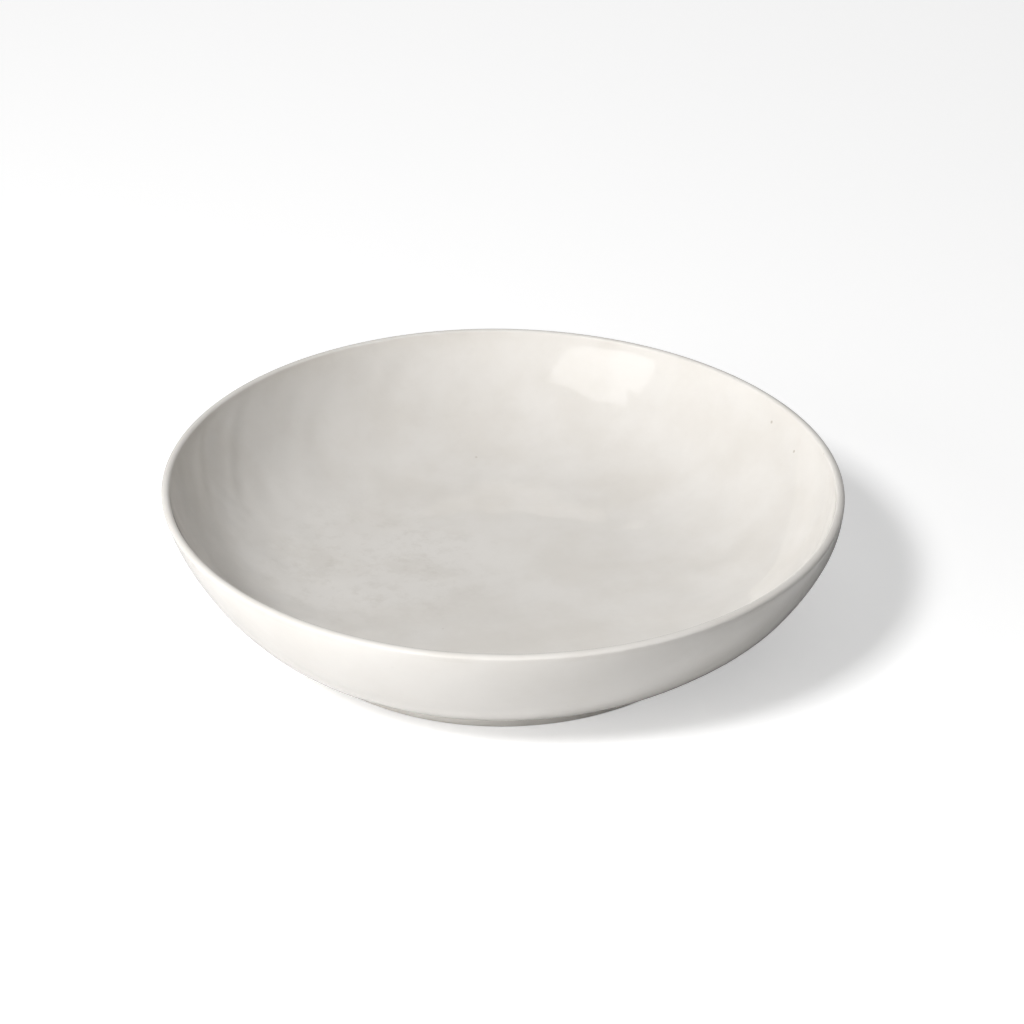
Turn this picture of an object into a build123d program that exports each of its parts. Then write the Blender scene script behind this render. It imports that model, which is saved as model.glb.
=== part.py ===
from build123d import *
from math import cos, radians, sin
import os

os.makedirs("parts", exist_ok=True)

# A wide, shallow, hand-formed porcelain serving bowl on a low foot ring.
# It stands on z = 0 with its axis on Z. Its long axis lies along X.
# Every section is drawn in the XZ plane, turned about Z, and then drawn out
# along X and in along Y, as a hand-formed round settles into an oval.

# Finished size, over the glaze
width = 330.0            # mean of the long and the short width
height = 72.0
oval = 0.0125            # part of the width gained along X and lost along Y

# Thicknesses
glaze = 0.4              # glass coat on every glazed face
rim_thickness = 3.2      # bare porcelain, under both coats
rim_lean = 9.0           # degrees that the wall still leans out at the rim
floor_thickness = 5.2
slip = 0.5               # layer of slip that lutes the foot to the bowl
slip_bead = 1.0          # slip squeezed out beside the foot and smoothed

# Foot ring
foot_radius = 109.6      # outside, bare porcelain
foot_width = 6.0
foot_height = 8.0
foot_edge = 1.2          # rounding of the edges that meet the table
bare_band = 2.2          # wiped clean of glaze above the table
foot_flare = 2.9         # the belly starts this far outside the foot

# The inner glaze is poured first and laps over the rim, down to this far below the crest
glaze_lap = 4.0

seat_height = foot_height + slip
floor_height = seat_height + floor_thickness
foot_middle = foot_radius - foot_width / 2

# The rim is a full round, square to the leaning wall
rim_round = rim_thickness / 2
rim_radius = width / 2 - glaze - rim_round
rim_height = height - glaze - rim_round
lean = radians(rim_lean)
up_the_wall = (sin(lean), cos(lean))
down_the_wall = (-sin(lean), -cos(lean))
rim_outside = (rim_radius + rim_round * cos(lean), rim_height - rim_round * sin(lean))
rim_inside = (rim_radius - rim_round * cos(lean), rim_height + rim_round * sin(lean))
rim_crest = (rim_radius + rim_round * sin(lean), rim_height + rim_round * cos(lean))

# Porcelain wall, as (radius, height) from the foot up and from the rim down
belly_start = (foot_radius + foot_flare, seat_height)
outer_wall = [(124.4, 13.6), (136.7, 22.6), (146.7, 33.0), (154.6, 44.6), (160.9, 57.2)]
inner_wall = [(157.0, 58.8), (150.3, 47.2), (142.0, 36.8), (131.2, 28.0), (114.0, 20.0)]
dish = (60.0, floor_height + 1.1)


def draw_oval():
    """Draws the part in hand out along X and in along Y."""
    scale(by=(1 + oval, 1 - oval, 1))


# Sections of the bare porcelain
with BuildSketch(Plane.XZ) as bowl_section:
    with BuildLine():
        Line((0, floor_height), (0, seat_height))
        Line((0, seat_height), belly_start)
        Spline(belly_start, *outer_wall, rim_outside, tangents=[(1, 0.3), up_the_wall])
        ThreePointArc(rim_outside, rim_crest, rim_inside)
        Spline(rim_inside, *inner_wall, dish, (0, floor_height), tangents=[down_the_wall, (-1, 0)])
    make_face()

with BuildSketch(Plane.XZ) as foot_section:
    with Locations((foot_middle, foot_height / 2)):
        Rectangle(foot_width, foot_height)

# Squeezed slip is smoothed into a small cove on each side of the foot
with BuildSketch(Plane.XZ) as slip_section:
    with Locations((foot_middle, foot_height + slip / 2)):
        Rectangle(foot_width, slip)
    for side in (-1, 1):
        foot_side = foot_middle + side * foot_width / 2
        with BuildLine():
            Line((foot_side, seat_height), (foot_side + side * slip_bead, seat_height))
            Line((foot_side, seat_height), (foot_side, seat_height - slip_bead))
            Line((foot_side + side * slip_bead, seat_height), (foot_side, seat_height - slip_bead))
        make_face()

# The glass coat follows the porcelain everywhere at one thickness, but for
# the half beyond the axis and the band wiped bare at the table
with BuildSketch(Plane.XZ) as coat_section:
    add(bowl_section.sketch)
    add(slip_section.sketch)
    add(foot_section.sketch)
    offset(amount=glaze)
    add(bowl_section.sketch, mode=Mode.SUBTRACT)
    add(slip_section.sketch, mode=Mode.SUBTRACT)
    add(foot_section.sketch, mode=Mode.SUBTRACT)
    with Locations((-width, 0)):
        Rectangle(2 * width, 2 * height, mode=Mode.SUBTRACT)
    with Locations((0, bare_band)):
        Rectangle(2 * width, height, align=(Align.CENTER, Align.MAX), mode=Mode.SUBTRACT)

# The side that the inner glaze is poured on, bounded along the middle of the wall
middle_of_wall = [
    ((outer_r + inner_r) / 2, (outer_z + inner_z) / 2)
    for (outer_r, outer_z), (inner_r, inner_z) in zip(outer_wall, reversed(inner_wall))
]
middle_of_floor = seat_height + floor_thickness / 2
lap_height = height - glaze_lap
with BuildSketch(Plane.XZ) as poured_side:
    with BuildLine():
        Polyline(
            (0, 2 * height),
            (0, middle_of_floor),
            (foot_middle, middle_of_floor),
            *middle_of_wall,
            (rim_radius, lap_height),
            (width, lap_height),
            (width, 2 * height),
            close=True,
        )
    make_face()

# Thrown or pressed wall and floor, bare porcelain
with BuildPart() as bowl_body:
    add(bowl_section.sketch)
    revolve(axis=Axis.Z)
    draw_oval()
bowl_body.part.label = "bowl_body"
export_step(bowl_body.part, "parts/bowl_body.step")

# Foot ring, an oval strip of the same porcelain with softened bottom edges
with BuildPart() as foot_ring:
    with BuildSketch():
        Ellipse(foot_radius * (1 + oval), foot_radius * (1 - oval))
        foot_inside = foot_radius - foot_width
        Ellipse(foot_inside * (1 + oval), foot_inside * (1 - oval), mode=Mode.SUBTRACT)
    extrude(amount=foot_height)
    fillet(foot_ring.edges().group_by(Axis.Z)[0], radius=foot_edge)
foot_ring.part.label = "foot_ring"
export_step(foot_ring.part, "parts/foot_ring.step")

# Slip that lutes the foot ring under the bowl
with BuildPart() as slip_joint:
    add(slip_section.sketch)
    revolve(axis=Axis.Z)
    draw_oval()
slip_joint.part.label = "slip_joint"
export_step(slip_joint.part, "parts/slip_joint.step")

# Inner glaze, from the middle of the dish up and over the rim
with BuildPart() as inner_glaze:
    with BuildSketch(Plane.XZ):
        add(coat_section.sketch)
        add(poured_side.sketch, mode=Mode.INTERSECT)
    revolve(axis=Axis.Z)
    draw_oval()
inner_glaze.part.label = "inner_glaze"
export_step(inner_glaze.part, "parts/inner_glaze.step")

# Outer glaze, from the lap under the rim down to the bare band of the foot
with BuildPart() as outer_glaze:
    with BuildSketch(Plane.XZ):
        add(coat_section.sketch)
        add(poured_side.sketch, mode=Mode.SUBTRACT)
        Rectangle(2 * foot_middle, 2 * height, mode=Mode.SUBTRACT)
    revolve(axis=Axis.Z)
    draw_oval()
outer_glaze.part.label = "outer_glaze"
export_step(outer_glaze.part, "parts/outer_glaze.step")

# Well glaze, on the underside and the inner face of the foot ring
with BuildPart() as well_glaze:
    with BuildSketch(Plane.XZ):
        add(coat_section.sketch)
        add(poured_side.sketch, mode=Mode.SUBTRACT)
        Rectangle(2 * foot_middle, 2 * height, mode=Mode.INTERSECT)
    revolve(axis=Axis.Z)
    draw_oval()
well_glaze.part.label = "well_glaze"
export_step(well_glaze.part, "parts/well_glaze.step")
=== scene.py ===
import math

import bpy
import numpy as np
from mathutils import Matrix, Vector


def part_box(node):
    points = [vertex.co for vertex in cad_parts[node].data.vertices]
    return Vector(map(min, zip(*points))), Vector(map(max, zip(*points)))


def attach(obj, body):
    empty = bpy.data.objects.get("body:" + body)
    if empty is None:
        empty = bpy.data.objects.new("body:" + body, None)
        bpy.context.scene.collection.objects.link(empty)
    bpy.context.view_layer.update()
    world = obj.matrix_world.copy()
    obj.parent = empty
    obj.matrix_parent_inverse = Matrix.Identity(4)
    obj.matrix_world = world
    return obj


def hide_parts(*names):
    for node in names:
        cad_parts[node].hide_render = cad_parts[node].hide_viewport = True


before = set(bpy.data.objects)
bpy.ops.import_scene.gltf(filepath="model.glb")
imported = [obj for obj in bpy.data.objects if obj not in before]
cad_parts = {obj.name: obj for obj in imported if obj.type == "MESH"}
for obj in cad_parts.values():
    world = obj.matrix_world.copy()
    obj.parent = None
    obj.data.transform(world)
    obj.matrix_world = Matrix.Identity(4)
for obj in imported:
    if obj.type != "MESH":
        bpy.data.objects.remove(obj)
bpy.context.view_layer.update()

# A wide, shallow, hand-formed porcelain serving bowl: the bare body and foot ring, the slip that
# lutes them, and three coats of glaze. Every piece is turned from a section, given as (radius,
# height), and then drawn into an oval and shaped by hand.
MM = 0.001

# ---------------------------------------------------------------- sizes, from the frame
body_low, body_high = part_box("bowl_body")
foot_low, foot_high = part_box("foot_ring")
inner_low, inner_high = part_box("inner_glaze")
outer_low, outer_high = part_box("outer_glaze")
well_low, well_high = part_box("well_glaze")
slip_low, slip_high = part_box("slip_joint")


def mean_radius(low, high):
    """The radius of a node's oval, between its long and its short one."""
    return (high.x - low.x + high.y - low.y) / 4


BODY = mean_radius(body_low, body_high)
OVAL = (body_high.x - body_high.y) / (2 * BODY)
GLAZE = inner_high.z - body_high.z
TOP = body_high.z
SEAT = body_low.z
FLOOR = inner_low.z - GLAZE
LAP = outer_high.z
BARE_BAND = outer_low.z
FOOT = mean_radius(foot_low, foot_high)
FOOT_INSIDE = mean_radius(well_low, well_high)
FOOT_TOP = foot_high.z
COVE = slip_high.z - slip_low.z

# As in the CAD model: the wall as (radius, height) in mm, from the foot up and from the rim down
OUTER_WALL = [(124.4, 13.6), (136.7, 22.6), (146.7, 33.0), (154.6, 44.6), (160.9, 57.2)]
INNER_WALL = [(157.0, 58.8), (150.3, 47.2), (142.0, 36.8), (131.2, 28.0), (114.0, 20.0)]
DISH = (60 * MM, FLOOR + 1.1 * MM)
BELLY = FOOT + 2.9 * MM
BELLY_SLOPE = (1, 0.3)
FOOT_EDGE = 1.2 * MM
RIM_LEAN = math.radians(9)
RIM_ROUND = 1.6 * MM

# The fingers that finished the rim left it flatter than a full round
RIM_FLATNESS = 0.6

# ---------------------------------------------------------------- the photograph's view
# The bowl's long axis runs from the back left to the front right of the view
TURN = math.radians(59.3)
ELEVATION = math.radians(29.2)
DISTANCE = 1.3
LENS = 93.8
SENSOR_WIDTH = 36
AIM_RIGHT = 4.7 * MM
AIM_HEIGHT = 0.709 * TOP


def in_view(right, away, up):
    """A place or direction in the photograph's view, turned into the bowl's own axes."""
    x = right * math.cos(TURN) - away * math.sin(TURN)
    y = right * math.sin(TURN) + away * math.cos(TURN)
    return Vector((x, y, up))


# ---------------------------------------------------------------- runs of a section
# Points round the axis, and the steps from point to point along a section
AROUND = 480
AROUND_HIDDEN = 240
STEP = 1.7 * MM
FINE_STEP = 0.25 * MM
COVE_STEP = 0.4 * MM
FLAT_STEP = 6 * MM
FOOT_STEP = 1.2 * MM

# Points nearer than this count as one
DOUBLED = 0.02 * MM

# How softly glaze rounds a corner, and how many points that takes in on each side
COVE_SOFTNESS = 0.5 * MM
SOFT_POINTS = 9


def spline(points, start, end):
    """A clamped cubic spline through the points, leaving along start and arriving along end."""
    knots = np.array(points, float)
    span = np.hypot(*np.diff(knots, axis=0).T)
    count = len(knots)
    matrix = np.zeros((count, count))
    right = np.zeros((count, 2))
    matrix[0, 0] = matrix[-1, -1] = 1
    right[0] = np.array(start) / np.hypot(*start)
    right[-1] = np.array(end) / np.hypot(*end)
    for i in range(1, count - 1):
        before, after = span[i - 1], span[i]
        matrix[i, i - 1 : i + 2] = after, 2 * (before + after), before
        slope_before = (knots[i] - knots[i - 1]) / before
        slope_after = (knots[i + 1] - knots[i]) / after
        right[i] = 3 * (after * slope_before + before * slope_after)
    slopes = np.linalg.solve(matrix, right)
    line = []
    for i in range(count - 1):
        for t in np.linspace(0, 1, max(2, round(span[i] / STEP)), endpoint=False):
            line.append(
                (1 + 2 * t) * (1 - t) ** 2 * knots[i]
                + t * (1 - t) ** 2 * span[i] * slopes[i]
                + t * t * (3 - 2 * t) * knots[i + 1]
                + t * t * (t - 1) * span[i] * slopes[i + 1]
            )
    line.append(knots[-1])
    return np.array(line)


def straight(start, end, step):
    """Points along a straight run, both ends included."""
    return np.linspace(start, end, max(2, round(math.dist(start, end) / step) + 1))


def arc(centre, across, upward, first, last, step=FINE_STEP):
    """Points along an arc of an ellipse with those two half axes, between two angles."""
    count = max(5, round(abs(last - first) * np.hypot(*across) / step) + 1)
    angles = np.linspace(first, last, count)[:, None]
    return np.array(centre) + np.cos(angles) * across + np.sin(angles) * upward


def joined(*runs):
    """Runs laid end to end, without doubled points."""
    points = np.concatenate(runs)
    gaps = np.hypot(*np.diff(points, axis=0).T)
    return points[np.concatenate([[True], gaps > DOUBLED])]


def softened(line):
    """The run resampled in short even steps, with its corners rounded a little."""
    travelled = np.concatenate([[0], np.cumsum(np.hypot(*np.diff(line, axis=0).T))])
    even = np.linspace(0, travelled[-1], round(travelled[-1] / COVE_STEP))
    line = np.stack([np.interp(even, travelled, line[:, i]) for i in (0, 1)], 1)
    offsets = np.arange(-SOFT_POINTS, SOFT_POINTS + 1) * COVE_STEP
    weights = np.exp(-0.5 * (offsets / COVE_SOFTNESS) ** 2)
    weights /= weights.sum()
    before = 2 * line[0] - line[SOFT_POINTS:0:-1]
    after = 2 * line[-1] - line[-2 : -SOFT_POINTS - 2 : -1]
    padded = np.concatenate([before, line, after])
    soft = np.stack([np.convolve(padded[:, i], weights, "valid") for i in (0, 1)], 1)
    soft[0], soft[-1] = line[0], line[-1]
    return soft


def normals(line):
    """Unit normals to the right of a run, which face away from the porcelain."""
    along = np.gradient(line, axis=0)
    along /= np.hypot(*along.T)[:, None]
    return np.stack([along[:, 1], -along[:, 0]], 1)


# ---------------------------------------------------------------- the porcelain's outline
up_the_wall = np.array([math.sin(RIM_LEAN), math.cos(RIM_LEAN)])
across_the_wall = RIM_ROUND * np.array([math.cos(RIM_LEAN), -math.sin(RIM_LEAN)])
rim_centre = np.array([BODY - RIM_ROUND, TOP - RIM_ROUND])
rim_centre += (1 - RIM_FLATNESS) * RIM_ROUND * up_the_wall
rim_outside = rim_centre + across_the_wall
rim_inside = rim_centre - across_the_wall

outer_run = spline([(BELLY, SEAT), *np.array(OUTER_WALL) * MM, rim_outside], BELLY_SLOPE, up_the_wall)
rim_run = arc(rim_centre, across_the_wall, RIM_FLATNESS * RIM_ROUND * up_the_wall, 0, math.pi)
inner_run = spline([rim_inside, *np.array(INNER_WALL) * MM, DISH, (0, FLOOR)], -up_the_wall, (-1, 0))

# The outer wall is split at the lap, where the two coats meet and face the same way
lap_row = np.argmax(outer_run[:, 1] > LAP)
lap_point = (np.interp(LAP, outer_run[:, 1], outer_run[:, 0]), LAP)
below_lap = np.concatenate([outer_run[:lap_row], [lap_point]])
above_lap = np.concatenate([[lap_point], outer_run[lap_row:]])
lap_facing = normals(joined(below_lap, above_lap))[lap_row]


# ---------------------------------------------------------------- shaping by hand
# How far the bowl is out of round, each as (lobes round the bowl, size as a part of the radius,
# phase in degrees). The foot sits a little off the middle, as one that is luted on by hand does.
FOOT_LOBES = [(0, 0.01, 0), (1, 0.015, -20), (2, 0.02, 100)]
BELLY_LOBES = [(1, 0.008, 75), (2, 0.005, -100), (3, 0.01, -45)]
RIM_LOBES = [(2, 0.006, -65), (4, 0.004, 110)]

# How far the rim rises and dips: lobes, mm, phase
RIM_LIFT = [(0, -0.4, 0), (1, 0.5, -20), (2, 0.4, -110), (3, 0.7, -145)]

# Marks that fingers left inside: direction in the view, radius, half widths round and up the
# wall, and height, in mm
FINGER_MARKS = [
    (168.5, 144, 2.3, 5.5, -0.20),
    (164.5, 142, 2.3, 6.0, -0.20),
    (170.5, 138, 2.6, 5.0, -0.18),
    (163.0, 136, 2.6, 5.0, -0.16),
    (167.0, 132, 2.4, 4.5, -0.14),
    (176.0, 139, 8.0, 12.0, -0.30),
    (190.0, 141, 8.0, 14.0, 0.28),
    (203.0, 143, 12.0, 10.0, 0.28),
    (131.0, 136, 16.0, 18.0, -0.42),
    (146.0, 128, 14.0, 14.0, 0.28),
]


# Long waves are higher than short ones by this power of their length
WAVE_POWER = 0.9

# How far a wave moves along x and y for each step up the wall, so that it doesn't run straight up
WAVE_CLIMB = (1.3, -0.9)


def waves(seed, count, longest, shortest):
    """A fixed, seeded set of soft waves: how fast each runs along x and y, its phase and size."""
    draw = np.random.default_rng(seed)
    found = []
    for _ in range(count):
        length = shortest * (longest / shortest) ** draw.random()
        heading = draw.random() * 2 * math.pi
        phase = draw.random() * 2 * math.pi
        pace = 2 * math.pi / length
        size = (length / longest) ** WAVE_POWER
        found.append((pace * math.cos(heading), pace * math.sin(heading), phase, size))
    return found


WALL_WAVES = waves(seed=11, count=26, longest=130 * MM, shortest=35 * MM)
FINGER_WAVES = waves(seed=5, count=22, longest=45 * MM, shortest=16 * MM)
SKIN_WAVES = waves(seed=23, count=24, longest=19 * MM, shortest=9 * MM)

# Which waves the inside and the outside have, and their heights
INSIDE_WAVES = [(WALL_WAVES, 0.15 * MM), (FINGER_WAVES, 0.15 * MM), (SKIN_WAVES, 0.04 * MM)]
OUTSIDE_WAVES = [(WALL_WAVES, 0.10 * MM), (FINGER_WAVES, 0.025 * MM)]

# The outside takes its waves from another stretch of them
OUTSIDE_SHIFT = 0.3

# The marks are fainter near the rim, within these depths below the top; in the dish, between these
# radii; and beside the foot, between these heights above the seat
RIM_CALM = 0.8
RIM_DEPTHS = (9 * MM, 1 * MM)
DISH_CALM = 0.7
DISH_RADII = (50 * MM, 110 * MM)
FOOT_HEIGHTS = (2 * MM, 14 * MM)


def smooth_step(value, low, high):
    """0 up to low, 1 from high on, and a soft ramp between them."""
    t = np.clip((value - low) / (high - low), 0, 1)
    return t * t * (3 - 2 * t)


def rippled(wave_sets, x, y, z):
    """The waves summed over the surface. Height is unrolled into the plane."""
    total = np.zeros(x.shape)
    for wave_set, height in wave_sets:
        size_of_all = math.sqrt(sum(size * size for *_, size in wave_set))
        for pace_x, pace_y, phase, size in wave_set:
            along_x, along_y = x + WAVE_CLIMB[0] * z, y + WAVE_CLIMB[1] * z
            wave = np.sin(pace_x * along_x + pace_y * along_y + phase)
            total += height * size / size_of_all * wave
    return total


def lobed(lobes, view):
    """The lobes summed at a direction in the photograph's view."""
    return sum(size * np.cos(count * view - math.radians(phase)) for count, size, phase in lobes)


def shaped(radius, height, theta):
    """A point of the section, turned to theta, drawn into the oval and out of round."""
    up = np.clip((height - SEAT) / (TOP - SEAT), 0, 1)
    view = theta - TURN
    foot_share, belly_share, rim_share = (1 - up) ** 3, 4 * up * (1 - up), up**2
    out_of_round = (
        foot_share * lobed(FOOT_LOBES, view)
        + belly_share * lobed(BELLY_LOBES, view)
        + rim_share * lobed(RIM_LOBES, view)
    )
    radial = radius * (1 + out_of_round)
    x = radial * np.cos(theta) * (1 + OVAL)
    y = radial * np.sin(theta) * (1 - OVAL)
    return x, y, height + up**3 * MM * lobed(RIM_LIFT, view)


def finger_marks(x, y):
    """The marks summed over the inside."""
    radius = np.hypot(x, y) / MM
    view = np.arctan2(y, x) - TURN
    total = np.zeros(x.shape)
    for direction, middle, half_round, half_up, height in FINGER_MARKS:
        off = np.angle(np.exp(1j * (view - math.radians(direction))))
        distance = (off * middle / half_round) ** 2 + ((radius - middle) / half_up) ** 2
        total += height * MM * np.exp(-distance)
    return total


def undulation(x, y, z, inside):
    """How far the surface stands proud of the section, inside (1) or outside (0)."""
    near_rim = 1 - RIM_CALM * smooth_step(z, TOP - RIM_DEPTHS[0], TOP - RIM_DEPTHS[1])
    off_middle = 1 - DISH_CALM * (1 - smooth_step(np.hypot(x, y), *DISH_RADII))
    off_foot = smooth_step(z, SEAT + FOOT_HEIGHTS[0], SEAT + FOOT_HEIGHTS[1])
    within = rippled(INSIDE_WAVES, x, y, z) * off_middle + finger_marks(x, y)
    without = rippled(OUTSIDE_WAVES, x + OUTSIDE_SHIFT, y, -z) * off_foot
    return near_rim * (inside * within + (1 - inside) * without)


def inside_of(line):
    """0 up the outer face of a run and 1 down its inner face, turning over across the rim."""
    inward = (rim_centre - line) @ across_the_wall / RIM_ROUND
    going_up = np.arange(len(line)) < np.argmax(line[:, 1])
    below_rim = line[:, 1] < rim_outside[1]
    return np.where(going_up & below_rim, 0, smooth_step(inward, -RIM_ROUND, RIM_ROUND))


# ---------------------------------------------------------------- turning a piece
# A point within ON_THE_AXIS becomes one vertex; an edge is sharp from SHARP on; a coat's back keeps
# one row in BACK_STRIDE
ON_THE_AXIS = 0.01 * MM
SHARP = math.radians(42)
BACK_STRIDE = 3


def surface(line, facing, inside, thickness, theta):
    """The run turned to every theta: its places, one row per point of the run."""
    moved = line + facing * thickness
    radius = np.maximum(moved[:, :1], 0)
    x, y, z = shaped(radius, moved[:, 1:], theta[None])
    proud = undulation(x, y, z, inside[:, None])
    x = x + facing[:, :1] * proud * np.cos(theta)
    y = y + facing[:, :1] * proud * np.sin(theta)
    z = z + facing[:, 1:] * proud
    return np.stack([x, y, z], -1)


def turned(name, runs, around=AROUND):
    """A closed piece: its runs, laid end to end, make the section that is turned about the axis."""
    theta = np.linspace(0, 2 * math.pi, around, endpoint=False)
    vertices, rings = [], []
    for line, facing, inside, thickness in runs:
        for point, ring in zip(line, surface(line, facing, inside, thickness, theta)):
            if point[0] < ON_THE_AXIS:
                rings.append(np.full(around, len(vertices)))
                vertices.append((0, 0, ring[:, 2].mean()))
            else:
                rings.append(np.arange(around) + len(vertices))
                vertices.extend(ring.tolist())
    faces = []
    for low, high in zip(rings, rings[1:] + rings[:1]):
        low_next, high_next = np.roll(low, -1), np.roll(high, -1)
        low_is_pole, high_is_pole = low[0] == low[1], high[0] == high[1]
        if low_is_pole and high_is_pole:
            continue
        if low_is_pole:
            corners = [low, high_next, high]
        elif high_is_pole:
            corners = [low, low_next, high]
        else:
            corners = [low, low_next, high_next, high]
        faces.extend(np.stack(corners, 1).tolist())
    mesh = bpy.data.meshes.new(name)
    mesh.from_pydata(vertices, [], faces)
    piece = bpy.data.objects.new(name, mesh)
    bpy.context.scene.collection.objects.link(piece)
    mesh.shade_smooth()
    mesh.set_sharp_from_angle(angle=SHARP)
    return piece


def coat(name, line, facing, inside):
    """A coat of glass over a run of the porcelain, closed by its back, which has fewer rows."""
    sparse = np.concatenate([np.arange(len(line) - 1, 0, -BACK_STRIDE), [0]])
    glass = (line, facing, inside, GLAZE)
    back = (line[sparse], facing[sparse], inside[sparse], 0)
    return turned(name, [glass, back])


def solid(name, line, inside, around=AROUND_HIDDEN):
    """A closed piece of bare clay."""
    return turned(name, [(line, normals(line), inside, 0)], around)


# ---------------------------------------------------------------- pieces
# How far the fine steps run on past the bend of the belly and past the slip's cove
NEAR_BEND = 2 * MM
NEAR_COVE = 3 * MM


def make_inner_glaze():
    """Poured over the inside and the rim, ending in a lap under the rim."""
    line = joined(above_lap, rim_run, inner_run)
    facing = normals(line)
    facing[0] = lap_facing
    return coat("inner_glaze_coat", line, facing, inside_of(line))


def make_outer_glaze():
    """From the lap down to the band wiped bare at the table, rounding the slip beside the foot."""
    bend = np.argmax(below_lap[:, 0] > BELLY + NEAR_BEND)
    foot_side = straight((FOOT, BARE_BAND), (FOOT, SEAT - COVE), COVE_STEP)
    slip_side = straight((FOOT, SEAT - COVE), (FOOT + COVE, SEAT), COVE_STEP)
    under = straight((FOOT + COVE, SEAT), (BELLY, SEAT), COVE_STEP)
    low = softened(joined(foot_side, slip_side, under, below_lap[: bend + 1]))
    line = joined(low, below_lap[bend:])
    facing = normals(line)
    facing[-1] = lap_facing
    return coat("outer_glaze_coat", line, facing, np.zeros(len(line)))


def make_well_glaze():
    """Under the floor and down the inner face of the foot ring."""
    start = FOOT_INSIDE - COVE - NEAR_COVE
    flat = straight((0, SEAT), (start, SEAT), FLAT_STEP)
    near = straight((start, SEAT), (FOOT_INSIDE - COVE, SEAT), COVE_STEP)
    slip_side = straight((FOOT_INSIDE - COVE, SEAT), (FOOT_INSIDE, SEAT - COVE), COVE_STEP)
    foot_side = straight((FOOT_INSIDE, SEAT - COVE), (FOOT_INSIDE, BARE_BAND), COVE_STEP)
    line = joined(flat, softened(joined(near, slip_side, foot_side)))
    return coat("well_glaze_coat", line, normals(line), np.zeros(len(line)))


def make_body():
    """The formed porcelain, which the glaze and the foot cover. Its runs have fewer points."""
    base = straight((0, SEAT), (BELLY, SEAT), FLAT_STEP)
    rim = joined([rim_outside], rim_run[::3], [rim_inside])
    line = joined(base, outer_run[::2], rim, inner_run[::2], [(0, FLOOR)])
    return solid("porcelain_body", line, inside_of(line))


def make_foot_ring():
    """The ring that the bowl stands on, with its lower edges rubbed round."""
    edge_right = np.array([FOOT_EDGE, 0])
    edge_up = np.array([0, FOOT_EDGE])
    line = joined(
        arc((FOOT - FOOT_EDGE, FOOT_EDGE), edge_right, edge_up, -math.pi / 2, 0),
        straight((FOOT, FOOT_EDGE), (FOOT, FOOT_TOP), FOOT_STEP),
        straight((FOOT, FOOT_TOP), (FOOT_INSIDE, FOOT_TOP), FOOT_STEP),
        straight((FOOT_INSIDE, FOOT_TOP), (FOOT_INSIDE, FOOT_EDGE), FOOT_STEP),
        arc((FOOT_INSIDE + FOOT_EDGE, FOOT_EDGE), edge_right, edge_up, math.pi, 1.5 * math.pi),
    )
    return solid("porcelain_foot", line, np.zeros(len(line)), AROUND)


def make_slip():
    """The thin joint of slip, with a small cove squeezed out on each side of the foot."""
    line = joined(
        straight((FOOT_INSIDE, FOOT_TOP), (FOOT, FOOT_TOP), FLAT_STEP),
        straight((FOOT, SEAT - COVE), (FOOT + COVE, SEAT), COVE_STEP),
        straight((FOOT_INSIDE - COVE, SEAT), (FOOT_INSIDE, SEAT - COVE), COVE_STEP),
    )
    return solid("luting_slip", line, np.zeros(len(line)))


# ---------------------------------------------------------------- materials
WARM_WHITE = (0.872, 0.845, 0.805)
POOLED_WHITE = (0.825, 0.793, 0.745)
FLECK = (0.70, 0.665, 0.61)
SPECK = (0.42, 0.36, 0.29)
BARE_WHITE = (0.72, 0.70, 0.66)
BARE_SHADE = (0.68, 0.655, 0.61)
FOOT_WHITE = (0.85, 0.825, 0.785)
FOOT_SHADE = (0.79, 0.755, 0.705)

# Where the glaze pooled in the dish and dried mottled
POOL = in_view(-65 * MM, 10 * MM, FLOOR)
POOL_REACH = 75 * MM
POOL_CORE = 0.35
POOL_ELSEWHERE = 0.25

# How large each feature of the glaze is, or how far apart
CLOUDS = 38 * MM
SPECK_SPACING = 14 * MM
SPECKLED_PATCHES = 110 * MM
FLECKS = 8 * MM
STREAKS = 24 * MM
PEEL = 4.8 * MM
DIMPLES = 13 * MM
PINHOLE_SPACING = 4.2 * MM
GLAZE_RELIEF = 0.028 * MM
GLAZE_ROUGHNESS = (0.03, 0.07)
GLAZE_IOR = 1.5

# The same for bare porcelain
BARE_CLOUDS = 25 * MM
BARE_RELIEF = 0.08 * MM
BARE_ROUGHNESS = (0.55, 0.72)


class Tree:
    """A node tree, with short ways to link and to calculate."""

    def __init__(self, tree):
        self.nodes = tree.nodes
        self.links = tree.links

    def feed(self, socket, value):
        """Links an output to the socket, or sets the socket to a number or colour."""
        if isinstance(value, bpy.types.NodeSocket):
            self.links.new(value, socket)
        else:
            socket.default_value = value

    def maths(self, operation, *values):
        """The result of a Math node on outputs and numbers."""
        node = self.nodes.new("ShaderNodeMath")
        node.operation = operation
        for socket, value in zip(node.inputs, values):
            self.feed(socket, value)
        return node.outputs[0]


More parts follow.
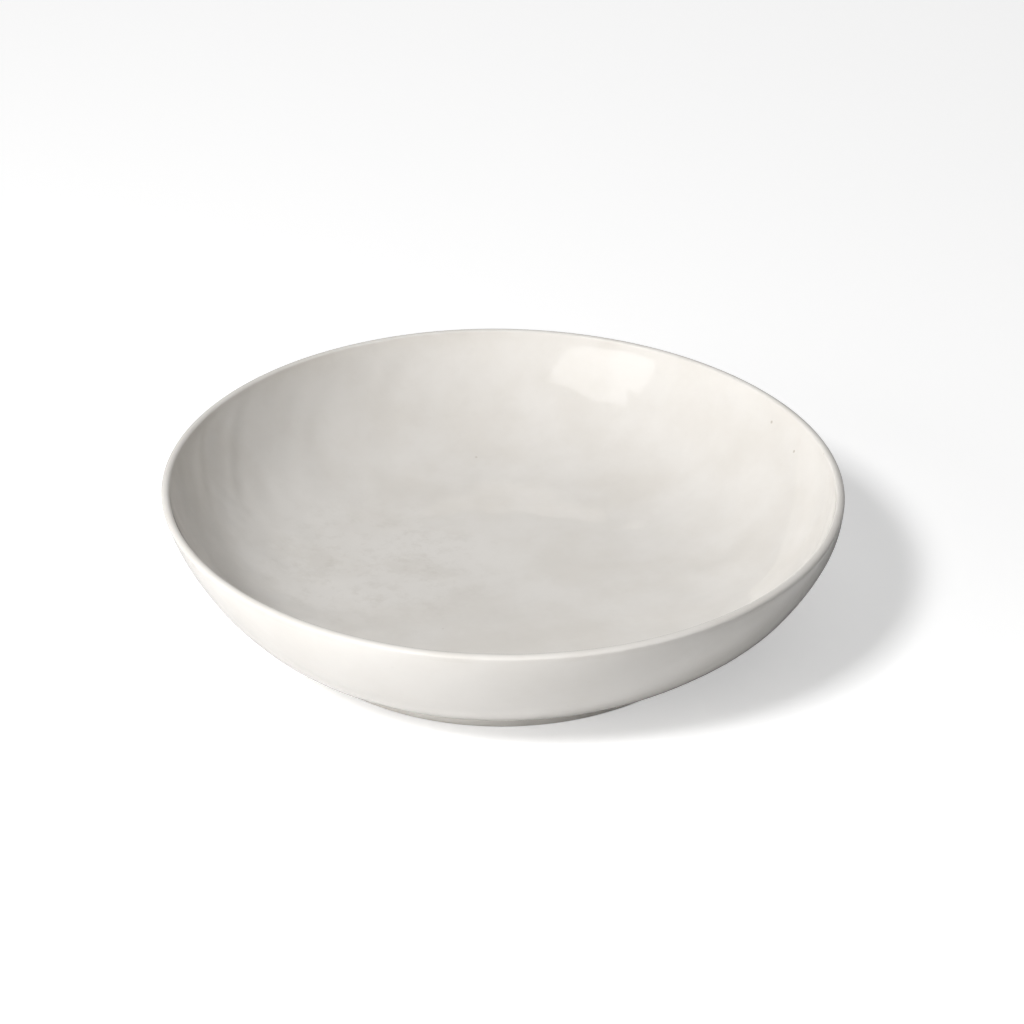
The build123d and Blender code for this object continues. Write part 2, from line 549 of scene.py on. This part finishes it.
class Look(Tree):
    """A material, with short ways to add the nodes that are used here."""

    def __init__(self, name):
        self.material = bpy.data.materials.new(name)
        self.material.use_nodes = True
        super().__init__(self.material.node_tree)
        self.shader = self.nodes["Principled BSDF"]
        self.places = self.nodes.new("ShaderNodeTexCoord").outputs["Object"]

    def noise(self, size, detail=3.0, roughness=0.5):
        """Clouds of about that size."""
        node = self.nodes.new("ShaderNodeTexNoise")
        self.feed(node.inputs["Scale"], 1 / size)
        self.feed(node.inputs["Detail"], detail)
        self.feed(node.inputs["Roughness"], roughness)
        self.feed(node.inputs["Vector"], self.places)
        return node.outputs["Fac"]

    def cells(self, size):
        """The distance from scattered points about that far apart, in parts of it."""
        node = self.nodes.new("ShaderNodeTexVoronoi")
        self.feed(node.inputs["Scale"], 1 / size)
        self.feed(node.inputs["Vector"], self.places)
        return node.outputs["Distance"]

    def remap(self, value, low, high, to_low, to_high):
        """A soft ramp from to_low, where the value is low, to to_high, where it is high."""
        node = self.nodes.new("ShaderNodeMapRange")
        node.interpolation_type = "SMOOTHSTEP"
        self.feed(node.inputs["Value"], value)
        self.feed(node.inputs["From Min"], low)
        self.feed(node.inputs["From Max"], high)
        self.feed(node.inputs["To Min"], to_low)
        self.feed(node.inputs["To Max"], to_high)
        return node.outputs["Result"]

    def mixed(self, factor, first, second):
        """Two colours mixed by the factor."""
        node = self.nodes.new("ShaderNodeMix")
        node.data_type = "RGBA"
        self.feed(node.inputs["Factor"], factor)
        colours = [socket for socket in node.inputs if socket.type == "RGBA"]
        for socket, colour in zip(colours, (first, second)):
            self.feed(socket, (*colour, 1) if isinstance(colour, tuple) else colour)
        return next(socket for socket in node.outputs if socket.type == "RGBA")

    def near(self, place, reach):
        """1 round a place, falling softly to 0 at that reach."""
        node = self.nodes.new("ShaderNodeVectorMath")
        node.operation = "DISTANCE"
        self.feed(node.inputs[0], self.places)
        self.feed(node.inputs[1], place)
        return self.remap(node.outputs["Value"], POOL_CORE * reach, reach, 1, 0)

    def bump(self, height, distance):
        """Fine relief of that height on the shader."""
        node = self.nodes.new("ShaderNodeBump")
        self.feed(node.inputs["Distance"], distance)
        self.feed(node.inputs["Height"], height)
        self.links.new(node.outputs["Normal"], self.shader.inputs["Normal"])


def glaze_look(name, mottling, specks, pooling):
    """Glossy warm-white glaze: clouded, mottled where it pooled, with a few iron specks, a fine
    orange peel and pinholes."""
    look = Look(name)
    cloud = look.noise(CLOUDS, detail=4.0, roughness=0.55)
    clouded = look.remap(cloud, 0.35, 0.72, 0, mottling)
    colour = look.mixed(clouded, WARM_WHITE, POOLED_WHITE)

    spot = look.remap(look.cells(SPECK_SPACING), 0.035, 0.075, 1, 0)
    rare = look.remap(look.noise(SPECKLED_PATCHES, detail=1.0), 0.60, 0.66, 0, specks)
    colour = look.mixed(look.maths("MULTIPLY", spot, rare), colour, SPECK)

    flecks = look.remap(look.noise(FLECKS, detail=5.0, roughness=0.65), 0.50, 0.66, 0, 1)
    streaks = look.remap(look.noise(STREAKS, detail=5.0, roughness=0.7), 0.46, 0.60, 0, 1)
    in_pool = look.near(POOL, POOL_REACH)
    pool = look.maths("MULTIPLY_ADD", in_pool, pooling, POOL_ELSEWHERE * pooling)
    marks = look.maths("MULTIPLY", look.maths("ADD", flecks, streaks), pool)
    colour = look.mixed(marks, colour, FLECK)
    look.feed(look.shader.inputs["Base Color"], colour)
    look.feed(look.shader.inputs["Roughness"], look.remap(cloud, 0.3, 0.75, *GLAZE_ROUGHNESS))
    look.feed(look.shader.inputs["IOR"], GLAZE_IOR)

    # Relief, in parts of GLAZE_RELIEF: the dimples are the highest, and the pinholes go down
    dimple_height, pinhole_depth = 1.6, -0.9
    peel = look.noise(PEEL, detail=2.0)
    dimples = look.noise(DIMPLES, detail=3.0)
    pinholes = look.remap(look.cells(PINHOLE_SPACING), 0, 0.22, pinhole_depth, 0)
    pinholes = look.maths("MULTIPLY", pinholes, look.remap(cloud, 0.5, 0.62, 0, 1))
    skin = look.maths("MULTIPLY_ADD", dimples, dimple_height, peel)
    look.bump(look.maths("ADD", skin, pinholes), GLAZE_RELIEF)
    return look.material


def bare_look(name, colour, shade, grain):
    """Matte fired porcelain, with a fine grain and a faint warm flashing."""
    look = Look(name)
    cloud = look.noise(BARE_CLOUDS, detail=4.0)
    flashed = look.mixed(look.remap(cloud, 0.3, 0.7, 0, 1), colour, shade)
    look.feed(look.shader.inputs["Base Color"], flashed)
    look.feed(look.shader.inputs["Roughness"], look.remap(cloud, 0.3, 0.7, *BARE_ROUGHNESS))
    look.bump(look.noise(grain, detail=4.0, roughness=0.6), BARE_RELIEF)
    return look.material


inner_look = glaze_look("inner_glaze_look", mottling=1.0, specks=0.55, pooling=0.20)
outer_look = glaze_look("outer_glaze_look", mottling=0.6, specks=0.05, pooling=0.0)
body_look = bare_look("porcelain_look", BARE_WHITE, BARE_SHADE, grain=1.1 * MM)
foot_look = bare_look("bare_foot_look", FOOT_WHITE, FOOT_SHADE, grain=1.4 * MM)

for piece, node, slot, look in (
    (make_inner_glaze(), "inner_glaze", "inner_glaze", inner_look),
    (make_outer_glaze(), "outer_glaze", "outer_glaze", outer_look),
    (make_well_glaze(), "well_glaze", "outer_glaze", outer_look),
    (make_body(), "bowl_body", "porcelain", body_look),
    (make_foot_ring(), "foot_ring", "bare_porcelain", foot_look),
    (make_slip(), "slip_joint", "porcelain", body_look),
):
    piece.data.materials.append(look)
    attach(piece, "root")
    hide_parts(node)

# ---------------------------------------------------------------- studio
# FLOOR_LIFT is how much the paper glows towards the camera. WORLD_LIGHT is the light that falls on
# everything, and WORLD_IN_GLOSS is what reflections see on top of it.
FLOOR_WHITE = 0.8
FLOOR_ROUGHNESS = 0.9
FLOOR_LIFT = 0.46
FLOOR_HALF = 1.5
WORLD_LIGHT = 0.03
WORLD_IN_GLOSS = 0.32


def studio_floor():
    """A wide sheet of white paper."""
    mesh = bpy.data.meshes.new("studio_floor")
    corners = [(x * FLOOR_HALF, y * FLOOR_HALF, 0) for x, y in ((-1, -1), (1, -1), (1, 1), (-1, 1))]
    mesh.from_pydata(corners, [], [(0, 1, 2, 3)])
    floor = bpy.data.objects.new("studio_floor", mesh)
    bpy.context.scene.collection.objects.link(floor)
    look = Look("studio_floor_look")
    look.feed(look.shader.inputs["Base Color"], (FLOOR_WHITE, FLOOR_WHITE, FLOOR_WHITE, 1))
    look.feed(look.shader.inputs["Roughness"], FLOOR_ROUGHNESS)
    look.feed(look.shader.inputs["Specular IOR Level"], 0)
    look.feed(look.shader.inputs["Emission Color"], (1, 1, 1, 1))
    # The paper glows a little towards the camera alone, so that it is white and the bowl isn't lit
    seen = look.nodes.new("ShaderNodeLightPath").outputs["Is Camera Ray"]
    look.feed(look.shader.inputs["Emission Strength"], look.maths("MULTIPLY", seen, FLOOR_LIFT))
    mesh.materials.append(look.material)


def area_light(name, place, aim, width, height, power, **seen_by):
    """A soft rectangular light; seen_by turns off the rays that it is hidden from."""
    data = bpy.data.lights.new(name, "AREA")
    data.shape = "RECTANGLE"
    data.size = width
    data.size_y = height
    data.energy = power
    light = bpy.data.objects.new(name, data)
    light.location = place
    light.rotation_euler = (aim - place).to_track_quat("-Z", "Y").to_euler()
    for rays, seen in seen_by.items():
        setattr(light, f"visible_{rays}", seen)
    bpy.context.scene.collection.objects.link(light)


def lamp(name, azimuth, elevation, distance, width, height, power, **seen_by):
    """A light round the bowl, aimed at it: azimuth and elevation in degrees, the azimuth counted
    counter-clockwise from the view's right."""
    turn, rise = math.radians(azimuth), math.radians(elevation)
    way = in_view(math.cos(turn) * math.cos(rise), math.sin(turn) * math.cos(rise), math.sin(rise))
    middle = Vector((0, 0, TOP / 2))
    area_light(name, middle + way * distance, middle, width, height, power, **seen_by)


studio_floor()
# Distances and sizes in metres, powers in watts. Of the lamps, only the glint shows in the glaze, as
# a window would, and it lights nothing else. The key casts the shadow.
lamp("key", -128, 46, 2.2, width=0.42, height=0.42, power=36, glossy=False)
lamp("glint", -134, 21, 2.2, width=1.05, height=1.6, power=10, diffuse=False)
lamp("left_window", -150, 14, 2.8, width=2.2, height=1.6, power=26, glossy=False)
lamp("overhead", -35, 74, 1.8, width=1.4, height=1.4, power=1.7, glossy=False)
lamp("low_front", -122, 2, 2.2, width=1.2, height=0.3, power=6, glossy=False)
lamp("back_fill", 115, 8, 2.6, width=2.2, height=0.8, power=4, glossy=False)

backdrop_place, backdrop_aim = in_view(0.1, 1.5, 1.3), in_view(0, 0.95, 0)
area_light("backdrop", backdrop_place, backdrop_aim, width=2.4, height=1.2, power=7, glossy=False)


def studio_world():
    """White past the floor's edge, pale in the gloss, and a faint even light on everything."""
    world = bpy.data.worlds.new("studio_world")
    world.use_nodes = True
    tree = Tree(world.node_tree)
    rays = tree.nodes.new("ShaderNodeLightPath").outputs
    strength = tree.maths("MULTIPLY_ADD", rays["Is Camera Ray"], 1 - WORLD_LIGHT, WORLD_LIGHT)
    strength = tree.maths("MULTIPLY_ADD", rays["Is Glossy Ray"], WORLD_IN_GLOSS, strength)
    background = tree.nodes["Background"]
    tree.feed(background.inputs["Strength"], strength)
    tree.feed(background.inputs["Color"], (1, 1, 1, 1))
    bpy.context.scene.world = world


studio_world()
bpy.context.scene.view_settings.view_transform = "Standard"

# ---------------------------------------------------------------- camera
camera_data = bpy.data.cameras.new("camera")
camera_data.lens = LENS
camera_data.sensor_width = SENSOR_WIDTH
camera = bpy.data.objects.new("camera", camera_data)
bpy.context.scene.collection.objects.link(camera)
aim = in_view(AIM_RIGHT, 0, AIM_HEIGHT)
camera.location = aim + in_view(0, -math.cos(ELEVATION), math.sin(ELEVATION)) * DISTANCE
camera.rotation_euler = (aim - camera.location).to_track_quat("-Z", "Y").to_euler()
bpy.context.scene.camera = camera
